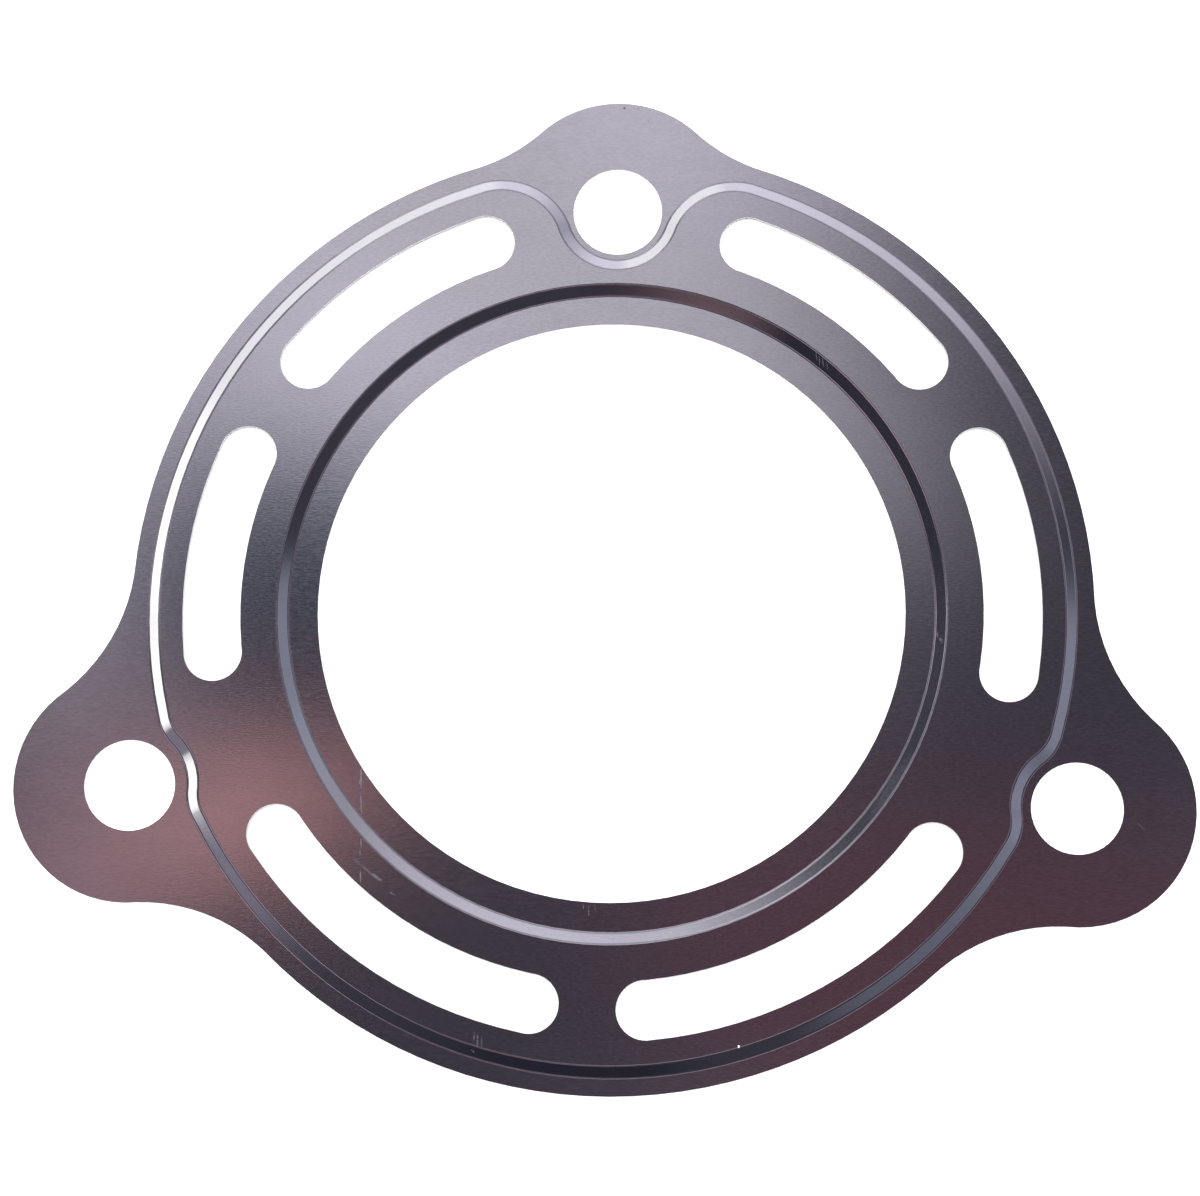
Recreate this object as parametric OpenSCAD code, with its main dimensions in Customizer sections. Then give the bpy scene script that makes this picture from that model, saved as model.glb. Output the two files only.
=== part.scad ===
// Exhaust head pipe gasket: one stamped steel sheet with three bolt ears.
// The sheet lies flat. Its rim round the bore and its outer flange rest at z = 0,
// and the slotted band between them stands up by one step along two sloped folds.

/* [Sheet] */
// Thickness of the steel sheet
sheet_t = 0.25; // [0.2:0.05:0.4]
// Height of the raised band above the rim and the flange
step_h = 0.7; // [0.4:0.05:0.9]
// Width of a sloped fold, seen from above
step_w = 1.6; // [1.4:0.05:1.8]
// Width of the gentler bend at the head and the foot of a fold
bend_w = 0.3; // [0.2:0.05:0.4]

/* [Ring] */
// Radius of the bore for the head pipe
bore_r = 34; // [32:0.5:35.5]
// Radius of the middle of the inner fold
inner_fold_r = 38.1; // [37:0.05:39.2]
// Radius of the middle of the outer fold between the ears
outer_fold_r = 53.05; // [52:0.05:53.5]
// Radius of the outer edge between the ears
ring_r = 55.75; // [55:0.25:58]

/* [Bolt holes] */
// Diameter of each bolt hole
hole_d = 10.5; // [9:0.25:11]
// Distance of the top hole from the bore's axis
top_at = 47.8; // [47.2:0.1:48.6]
// Distance of the left hole from the bore's axis
left_at = 59; // [58:0.25:60.5]
// Distance of the right hole from the bore's axis
right_at = 58; // [57.25:0.25:60]
// Angle of the left hole, counter-clockwise from the right
left_angle = 201.2; // [199:0.2:203]
// Angle of the right hole, clockwise from the right
right_angle = 22.8; // [21:0.2:24.6]

/* [Ears] */
// Radius of each ear round its bolt hole
ear_r = 13.5; // [12:0.25:15]
// Radius of the hollow corner between an ear and the ring
ear_fillet_r = 21; // [16:1:26]

/* [Folds round the holes] */
// Radius of the fold's detour round the top hole
top_detour_r = 6.65; // [6.5:0.05:7]
// Radius of the fold's detour round the left hole
left_detour_r = 7.4; // [7:0.1:8]
// Radius of the fold's detour round the right hole
right_detour_r = 7; // [6.7:0.1:8]
// Radius of the turn into the top detour
top_turn_r = 8; // [6.5:0.25:9]
// Radius of the turn into each side detour
side_turn_r = 5.5; // [4:0.25:7]

/* [Slots] */
// Radius of the middle of every slot
slot_r = 46.3; // [45.8:0.1:46.8]
// Width of every slot
slot_w = 6.75; // [5.5:0.25:7.25]
// Width of the bridge below the top hole
top_bridge_w = 24.8; // [23:0.2:28]
// Width of the bridge beside each side hole
side_bridge_w = 15.9; // [14.5:0.1:19]
// Width of each bridge between two slots that share a span
mid_bridge_w = 6.5; // [4:0.25:9]
// Angle of the bridge in the upper right span
upper_right_bridge = 31.6; // [28:0.2:36]
// Angle of the bridge in the upper left span
upper_left_bridge = 149.3; // [144:0.1:152]
// Angle of the bridge in the lower span
lower_bridge = 267.7; // [262:0.1:274]

/* [Hidden] */
$fn = 96;
slot_half = slot_w / 2;
fold_half = step_w / 2;
bend_fall = step_h * bend_w / (2 * (step_w - bend_w));
cut_over = 1;
// Where two arcs meet, the smaller one reaches this much past the other, so that they cross cleanly
arc_lap = 0.02;
// How far a wedge between a turn and its hole reaches past the turn's centre
wedge_reach = 20;
// One row for each bolt hole: angle, distance, radius of the detour, radius of its turns
HOLES = [
    [90, top_at, top_detour_r, top_turn_r],
    [left_angle, left_at, left_detour_r, side_turn_r],
    [-right_angle, right_at, right_detour_r, side_turn_r],
];
// One row for each slot: angle and width of the bridge before it, then of the bridge after it
SLOTS = [
    [-right_angle, side_bridge_w, upper_right_bridge, mid_bridge_w],
    [upper_right_bridge, mid_bridge_w, 90, top_bridge_w],
    [90, top_bridge_w, upper_left_bridge, mid_bridge_w],
    [upper_left_bridge, mid_bridge_w, left_angle, side_bridge_w],
    [left_angle, side_bridge_w, lower_bridge, mid_bridge_w],
    [lower_bridge, mid_bridge_w, 360 - right_angle, side_bridge_w],
];
// The slope of a fold, from below its foot to above its head: distance from its middle line, and height
SLOPE = [
    [fold_half + bend_w, -bend_fall],
    [fold_half - bend_w, bend_fall],
    [bend_w - fold_half, step_h - bend_fall],
    [-bend_w - fold_half, step_h + bend_fall],
];

function mirrored(p) = [p.x, -p.y];
// The point at distance a from the bore's axis and b from a hole at (at, 0)
function meeting(a, b, at) = let (x = (a * a - b * b + at * at) / (2 * at)) [x, sqrt(a * a - x * x)];
// The point that lies wedge_reach further from the bore's axis than p
function beyond(p) = p * (1 + wedge_reach / norm(p));
function turn_centre(h) = meeting(outer_fold_r - h[3] + arc_lap, h[2] + h[3] - arc_lap, h[1]);
function fillet_centre(h) =
    meeting(ring_r + ear_fillet_r - arc_lap, ear_r + ear_fillet_r - arc_lap, h[1]);

// A round hill about the origin, whose side is a fold with its middle line at r
module hill(r) {
    side = [for (i = [0:2]) [r + SLOPE[i].x, SLOPE[i].y]];
    rotate_extrude()
        polygon(concat([[0, SLOPE[0].y]], side, [[r - fold_half, step_h], [0, step_h]]));
}

// A round pit about the origin, to be cut out of a hill so that a fold is left round it
module pit(r) {
    side = [for (p = SLOPE) [r - p.x, p.y]];
    low = SLOPE[0].y - cut_over;
    high = SLOPE[3].y + cut_over;
    rotate_extrude()
        polygon(concat([[0, low], [side[0].x, low]], side, [[side[3].x, high], [0, high]]));
}

// The ground outside a detour and its two turns, which the hill round the bore doesn't cover
module corner_wedge(h) {
    b = turn_centre(h);
    translate([0, 0, -cut_over])
        linear_extrude(step_h + 2 * cut_over)
            polygon([[h[1], 0], b, beyond(b), mirrored(beyond(b)), mirrored(b)]);
}

// The space below the raised band, with a fold along both of its edges
module mound() {
    difference() {
        union() {
            difference() {
                hill(outer_fold_r);
                for (h = HOLES) {
                    rotate([0, 0, h[0]]) {
                        corner_wedge(h);
                        translate([h[1], 0, 0]) pit(h[2]);
                    }
                }
            }
            for (h = HOLES, side = [-1, 1]) {
                b = turn_centre(h);
                rotate([0, 0, h[0]]) translate([b.x, side * b.y, 0]) hill(h[3]);
            }
        }
        pit(inner_fold_r);
    }
}

// Outline of the sheet: the ring, the ears and the hollow corners between them
module outline() {
    circle(r = ring_r);
    for (h = HOLES) {
        c = fillet_centre(h);
        rotate(h[0]) {
            translate([h[1], 0]) circle(r = ear_r);
            difference() {
                polygon([[0, 0], c, [h[1], 0], mirrored(c)]);
                translate(c) circle(r = ear_fillet_r);
                translate(mirrored(c)) circle(r = ear_fillet_r);
            }
        }
    }
}

// A curved slot with round ends, between the bridges of row s
module slot(s) {
    // Angle of half a bridge, for each millimetre of its width
    half_turn = 90 / (PI * slot_r);
    end_turn = asin(slot_half / slot_r);
    first = s[0] + s[1] * half_turn + end_turn;
    last = s[2] - s[3] * half_turn - end_turn;
    depth = sheet_t + 2 * cut_over;
    translate([0, 0, step_h - cut_over]) {
        rotate([0, 0, first])
            rotate_extrude(angle = last - first)
                translate([slot_r - slot_half + arc_lap, 0])
                    square([slot_w - 2 * arc_lap, depth]);
        for (turn = [first, last])
            rotate([0, 0, turn])
                translate([slot_r, 0, 0])
                    cylinder(r = slot_half, h = depth);
    }
}

module gasket_sheet() {
    color("silver")
        difference() {
            union() {
                linear_extrude(sheet_t) outline();
                translate([0, 0, sheet_t]) mound();
            }
            mound();
            translate([0, 0, -cut_over])
                cylinder(r = bore_r, h = sheet_t + 2 * cut_over);
            for (h = HOLES)
                rotate([0, 0, h[0]])
                    translate([h[1], 0, -cut_over])
                        cylinder(d = hole_d, h = sheet_t + 2 * cut_over);
            for (s = SLOTS)
                slot(s);
        }
}

gasket_sheet();
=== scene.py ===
import bmesh
import bpy
import math
from mathutils import Euler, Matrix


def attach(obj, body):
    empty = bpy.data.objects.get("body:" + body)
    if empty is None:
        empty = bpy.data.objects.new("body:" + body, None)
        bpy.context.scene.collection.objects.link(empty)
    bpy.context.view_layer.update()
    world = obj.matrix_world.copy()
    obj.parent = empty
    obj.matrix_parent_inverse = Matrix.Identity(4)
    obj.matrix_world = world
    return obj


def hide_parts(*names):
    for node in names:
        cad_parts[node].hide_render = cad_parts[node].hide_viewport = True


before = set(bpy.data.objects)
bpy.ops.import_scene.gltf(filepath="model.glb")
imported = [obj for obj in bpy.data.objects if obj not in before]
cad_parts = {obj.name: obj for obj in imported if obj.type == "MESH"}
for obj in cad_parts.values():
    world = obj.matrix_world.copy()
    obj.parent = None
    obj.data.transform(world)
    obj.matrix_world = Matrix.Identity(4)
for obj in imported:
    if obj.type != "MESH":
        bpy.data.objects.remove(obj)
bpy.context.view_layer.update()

# ---- Camera ----
# The photograph was taken from above, a little towards the viewer's side of the bore. Its
# place and turns were fitted to the bore, the slots, the holes and the ring.
scene = bpy.context.scene
scene.view_settings.view_transform = "Standard"
lens = bpy.data.cameras.new("camera")
lens.sensor_width = 36
lens.lens = 90
lens.clip_start = 0.01  # metres
camera = bpy.data.objects.new("camera", lens)
camera.location = (0.011377, -0.06226, 0.34143)
camera.rotation_euler = Euler([math.radians(turn) for turn in (10.568, 1.9274, 1.0395)])
scene.collection.objects.link(camera)
scene.camera = camera


# ---- Studio ----
# A white table under a broad lamp. The steel mirrors the room round it: a pale wall at the
# back, a white strip low on the left, a bluish card on the right and a dark room elsewhere.
class Wire:
    """An output in a node tree, on which a formula can be written with + - * and node()."""

    def __init__(self, tree, output=None):
        self.tree, self.output = tree, output

    def node(self, kind, settings=(), inputs=(), out=0):
        """Adds a node, makes its settings, fills its inputs and gives its output as a wire."""
        made = self.tree.nodes.new(kind)
        for name, setting in dict(settings).items():
            setattr(made, name, setting)
        for name, value in dict(inputs).items():
            if isinstance(value, Wire):
                self.tree.links.new(value.output, made.inputs[name])
            else:
                made.inputs[name].default_value = value
        return Wire(self.tree, made.outputs[out]) if len(made.outputs) else made

    def math(self, operation, *values):
        return self.node("ShaderNodeMath", {"operation": operation}, enumerate(values))

    def __add__(self, other): return self.math("ADD", self, other)
    def __radd__(self, other): return self.math("ADD", other, self)
    def __sub__(self, other): return self.math("SUBTRACT", self, other)
    def __rsub__(self, other): return self.math("SUBTRACT", other, self)
    def __mul__(self, other): return self.math("MULTIPLY", self, other)
    def __rmul__(self, other): return self.math("MULTIPLY", other, self)

    def rise(self, off, on):
        """0 up to off, 1 from on, which may be the smaller, and a smooth step between them."""
        settings = {"interpolation_type": "SMOOTHSTEP"}
        return self.node("ShaderNodeMapRange", settings, {0: self, 1: off, 2: on})

    def mix(self, first, second):
        """The first colour where this wire is 0 and the second where it is 1."""
        colours = {0: self, 6: first, 7: second}
        return self.node("ShaderNodeMix", {"data_type": "RGBA"}, colours, out=2)


room = bpy.data.worlds.new("room")
room.use_nodes = True
room.node_tree.nodes.clear()
sky = Wire(room.node_tree)
towards = sky.node("ShaderNodeTexCoord")
side = sky.node("ShaderNodeSeparateXYZ", (), {0: towards}, out="X")
ahead = sky.node("ShaderNodeSeparateXYZ", (), {0: towards}, out="Y")

# Each card in the room hangs over the ones before it. A direction is given by its X and Y,
# which are both 0 straight up. A row gives a card's name, the direction it hangs in, half its
# width and height, its turn in radians, how soft its edge is, and its light.
ANY_HEIGHT = 1000
light = (0.057, 0.054, 0.075, 1)
for name, x, y, across, along, turn, soft, glow in (
    ("rear_panel", 0.0, 0.55, 0.45, 0.15, 0.0, 0.30, (0.45, 0.44, 0.50)),
    ("ceiling", 0.269, 0.467, 0.376, 0.197, -0.964, 0.200, (0.266, 0.232, 0.284)),
    ("left_door", -0.452, -0.207, 0.115, 0.258, 0.657, 0.535, (1.416, 1.147, 1.343)),
    ("left_wall", -0.430, 0.465, 0.108, 0.419, -0.667, 0.270, (1.015, 0.992, 1.112)),
    ("pink_wall", 0.158, -0.100, 0.113, 0.303, -1.056, 0.980, (0.441, 0.375, 0.457)),
    ("warm_wall", 0.122, 0.038, 0.158, 0.069, -0.336, 0.200, (0.128, 0.062, 0.084)),
    ("haze", -0.039, 0.363, 0.185, 0.101, 1.676, 0.507, (0.451, 0.432, 0.519)),
    ("grey_wall", -0.373, 0.277, 0.109, 0.155, 0.820, 0.206, (0.731, 0.564, 0.666)),
    ("red_near", -0.141, 0.118, 0.064, 0.018, 0.46, 0.60, (1.10, 0.56, 0.55)),
    ("red_far", -0.220, 0.051, 0.090, 0.027, 1.200, 0.980, (0.484, 0.307, 0.365)),
    ("window", -0.095, 0.287, 0.057, 0.149, -0.907, 0.894, (0.989, 0.955, 1.105)),
    ("blind", -0.156, 0.361, 0.040, 0.244, 0.995, 0.377, (0.697, 0.685, 0.767)),
    ("shade", -0.134, 0.177, 0.049, 0.061, 1.008, 0.486, (0.003, 0.025, 0.052)),
    ("curtain", -0.415, 0.327, 0.133, 0.235, -0.481, 0.200, (0.076, 0.065, 0.093)),
    ("floor", 0.106, -1.064, 1.450, 0.191, -0.895, 0.441, (0.025, 0.027, 0.045)),
    ("red_left", -0.758, -0.388, 0.240, 0.052, -0.762, 0.365, (0.302, 0.263, 0.345)),
    ("red_low", -0.190, -0.548, 0.159, 0.068, -0.049, 0.980, (0.373, 0.227, 0.252)),
    ("right_wall", 0.933, -0.145, 0.092, 0.933, 0.402, 0.249, (0.320, 0.336, 0.440)),
    ("blue_card", 0.790, -0.277, 0.056, 0.399, -0.653, 0.980, (0.320, 0.337, 0.451)),
    ("rear_wall", -0.412, 1.384, 1.144, 0.359, -0.401, 0.976, (1.630, 1.582, 1.846)),
):
    own = sky.node(
        "ShaderNodeMapping", {"vector_type": "TEXTURE", "label": name},
        {0: towards, 1: (x, y, 0), 2: (0, 0, turn), 3: (across, along, ANY_HEIGHT)},
    )
    off_centre = sky.node("ShaderNodeVectorMath", {"operation": "LENGTH"}, {0: own}, out=1)
    light = off_centre.rise(1 + soft, 1 - soft).mix(light, (*glow, 1))

# The white strip runs low along the left and is brightest at its far left. Lower still, grey
# walls close the room in front and at the sides. How low a direction is goes from 0 straight
# up to 1 level with the table.
lowness = sky.math("SQRT", side * side + ahead * ahead)
strip = lowness.rise(0.875, 0.905) * side.rise(0, -0.2) * ahead.rise(-0.274, -0.244)
light = strip.mix(light, (1.35, 1.35, 1.418, 1))
light = (strip * side.rise(-0.74, -0.86)).mix(light, (2.2, 2.2, 2.2, 1))
walls = lowness.rise(0.915, 0.935) * ahead.rise(0.25, 0.1)
light = walls.mix(light, (0.56, 0.55, 0.59, 1))

# The cards are only mirrored. Beyond the table's edge the room itself looks white.
beyond = sky.node("ShaderNodeLightPath", out="Is Camera Ray")
light = beyond.mix(light, (0.96, 0.96, 0.96, 1))
shine = sky.node("ShaderNodeBackground", (), {0: light})
sky.node("ShaderNodeOutputWorld", (), {0: shine})
scene.world = room

lamp = bpy.data.lights.new("lamp", "AREA")
lamp.shape = "DISK"
lamp.size = 1.6
lamp.energy = 49  # watts, which leave the table just white
overhead = bpy.data.objects.new("lamp", lamp)
overhead.location = (0, 0, 1.5)
overhead.visible_glossy = False
scene.collection.objects.link(overhead)

TABLE_R = 4
TABLE_GAP = 0.00002
mesh = bmesh.new()
bmesh.ops.create_circle(mesh, cap_ends=True, segments=64, radius=TABLE_R)
bmesh.ops.translate(mesh, verts=mesh.verts, vec=(0, 0, -TABLE_GAP))
table = bpy.data.objects.new("table", bpy.data.meshes.new("table"))
mesh.to_mesh(table.data)
mesh.free()
scene.collection.objects.link(table)
paint = bpy.data.materials.new("white_table")
paint.use_nodes = True
coat = paint.node_tree.nodes["Principled BSDF"].inputs
coat["Base Color"].default_value = (0.9, 0.9, 0.9, 1)
coat["Roughness"].default_value = 0.9
coat["Specular IOR Level"].default_value = 0.0
table.data.materials.append(paint)

# ---- Gasket sheet ----
# One blank of cold rolled stainless steel, sheared to its outline and pressed in one stroke:
# two folds lift the slotted band between the rim and the flange. It keeps the satin of the
# rolls, with their grain along X.
CAD_MERGE = 0.000001
FLAT_WITHIN = math.radians(0.5)
SHEARED_FROM = math.radians(45)
EDGE_ROUND = 0.00003
steel_piece = bpy.data.objects.new("gasket_steel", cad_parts["gasket_sheet"].data.copy())
scene.collection.objects.link(steel_piece)
mesh = bmesh.new()
mesh.from_mesh(steel_piece.data)
bmesh.ops.remove_doubles(mesh, verts=mesh.verts, dist=CAD_MERGE)
bmesh.ops.dissolve_limit(mesh, angle_limit=FLAT_WITHIN, verts=mesh.verts, edges=mesh.edges)

# A fold's slope is one plane to the eye, with a gentle bend at its head and its foot. So the
# bends give way where normals are averaged, and the flats and slopes keep their own.
BEND_FLATTEST, BEND_STEEPEST = 0.9999, 0.94
WEAK = -16384
yields = mesh.faces.layers.int.new("__mod_weightednormals_faceweight")
for face in mesh.faces:
    if BEND_FLATTEST > abs(face.normal.z) > BEND_STEEPEST:
        face[yields] = WEAK
cut_edges = [edge for edge in mesh.edges if edge.calc_face_angle() > SHEARED_FROM]
bmesh.ops.bevel(
    mesh, geom=cut_edges, offset=EDGE_ROUND, offset_type="OFFSET", segments=2, profile=0.5,
    affect="EDGES", material=-1, clamp_overlap=True,
)
for face in mesh.faces:
    face.smooth = True
mesh.to_mesh(steel_piece.data)
mesh.free()
steel_piece.data.set_sharp_from_angle(angle=SHEARED_FROM)
even = steel_piece.modifiers.new("even_normals", "WEIGHTED_NORMAL")
even.mode = "FACE_AREA"
even.keep_sharp = True
even.use_face_influence = True

steel = bpy.data.materials.new("satin_steel")
steel.use_nodes = True
steel.node_tree.nodes.clear()
look = Wire(steel.node_tree)
place = look.node("ShaderNodeTexCoord", out="Object")
normal = look.node("ShaderNodeTexCoord", out="Normal")


def grain(length, width, roughness):
    """Streaks along X of about that length and width, in metres, from 0 to 1."""
    scale = (1 / length, 1 / width, 1 / width)
    stretched = look.node("ShaderNodeMapping", (), {0: place, 3: scale})
    shape = {"Vector": stretched, "Scale": 1.0, "Detail": 2.0, "Roughness": roughness}
    return look.node("ShaderNodeTexNoise", {"noise_dimensions": "3D"}, shape)


def mark(x, y, length, width, angle):
    """1 on a thin mark centred at (x, y), all in millimetres and degrees, and 0 off it."""
    own = look.node(
        "ShaderNodeMapping", {"vector_type": "TEXTURE"},
        {0: place, 1: (x / 1000, y / 1000, 0), 2: (0, 0, math.radians(angle)),
         3: (length / 2000, width / 2000, 1)},
    )
    off_centre = look.node("ShaderNodeVectorMath", {"operation": "LENGTH"}, {0: own}, out=1)
    return 1 - off_centre.rise(0.4, 1)


# The press drew the grain out, so it is fainter on the folds than on the level parts.
fine = grain(0.0006, 0.00016, 0.55)
broad = grain(0.006, 0.0022, 0.5)
upright = look.node("ShaderNodeSeparateXYZ", (), {0: normal}, out="Z")
level = upright.rise(0.92, 0.99) * 0.65 + 0.35
tone = 0.5 + level * ((fine * 0.8 + broad * 0.2).rise(0.32, 0.68) - 0.5)
colour = tone.mix((0.54, 0.531, 0.545, 1), (0.63, 0.622, 0.638, 1))

# Scratches, small dents and, in the last three rows, rough stretches of the folds: the
# place, the length and width in millimetres, the angle in degrees and the depth.
scratches = 0
for *where, depth in (
    (-28.32, -20.10, 3.2, 0.20, 91, 0.9),
    (-28.23, -23.03, 3.6, 0.16, 94, 0.8),
    (-28.52, -20.56, 1.4, 0.14, 94, 0.4),
    (-28.00, -27.68, 1.5, 0.16, 91, 0.7),
    (-28.08, -28.71, 1.0, 0.14, 90, 0.6),
    (-27.93, -31.45, 2.0, 0.16, 92, 0.7),
    (-28.39, -29.80, 1.5, 0.45, 140, 0.2),
    (-27.27, -30.70, 2.3, 0.40, 141, 0.25),
    (-26.10, -31.54, 2.0, 0.50, 144, 0.45),
    (-24.30, -33.36, 0.9, 0.35, 149, 0.35),
    (-2.51, -34.53, 1.0, 0.16, 95, 0.3),
    (-1.88, -34.97, 1.5, 0.22, 93, 0.4),
    (-1.20, -34.51, 0.8, 0.16, 96, 0.3),
    (-14.52, -49.29, 1.4, 0.25, 90, 0.3),
    (-14.12, -49.79, 2.0, 0.30, 91, 0.4),
    (-13.66, -50.00, 1.7, 0.20, 90, 0.25),
    (-14.65, -50.91, 0.8, 0.30, 140, 0.4),
    (37.60, -2.64, 1.0, 0.50, 106, 0.16),
    (38.05, -3.33, 1.0, 0.50, 119, 0.18),
    (23.58, 30.19, 1.3, 0.14, 99, 0.5),
    (23.93, 29.71, 1.5, 0.14, 97, 0.5),
    (24.34, 29.53, 1.7, 0.14, 101, 0.5),
    (24.84, 29.11, 1.3, 0.14, 101, 0.4),
    (60.60, -24.39, 1.8, 0.18, 135, 0.25),
    (-45.60, -26.80, 7.0, 1.3, 122, 0.09),
    (-42.60, -31.40, 6.0, 1.3, 129, 0.06),
    (32.50, -20.00, 11.0, 1.5, 58, 0.05),
):
    scratches = scratches + depth * mark(*where)
scratches = scratches * fine.rise(0.25, 0.5)
colour = scratches.mix(colour, (0.95, 0.95, 0.96, 1))

# Painted shade: dark spots where small nicks at the top of the upper ear lie in shade, and one
# white speck beside the lower fold.
nick_shade = mark(0.58, 60.71, 0.35, 0.3, 0) + 0.6 * mark(2.21, 60.65, 0.3, 0.2, 0)
nick_shade = nick_shade + 0.4 * mark(3.49, 59.11, 0.25, 0.2, 0)
# The nicks' shade is painted into the steel's colour as near-black.
colour = nick_shade.mix(colour, (0.08, 0.08, 0.09, 1))
speck = mark(15.27, -49.93, 0.42, 0.28, 90)
colour = speck.mix(colour, (0.9, 0.9, 0.9, 1))

GRAIN_DEPTH = 0.0000015
satin = 0.09 + 0.05 * fine + 0.5 * scratches
grooves = {"Strength": 1.0, "Distance": GRAIN_DEPTH, "Height": fine * level}
relief = look.node("ShaderNodeBump", (), grooves)
metal = look.node("ShaderNodeBsdfPrincipled", (), {
    "Base Color": colour, "Metallic": 1 - speck, "Roughness": satin, "Normal": relief,
})
look.node("ShaderNodeOutputMaterial", (), {0: metal})
steel_piece.data.materials.clear()
steel_piece.data.materials.append(steel)
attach(steel_piece, "root")
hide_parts("gasket_sheet")
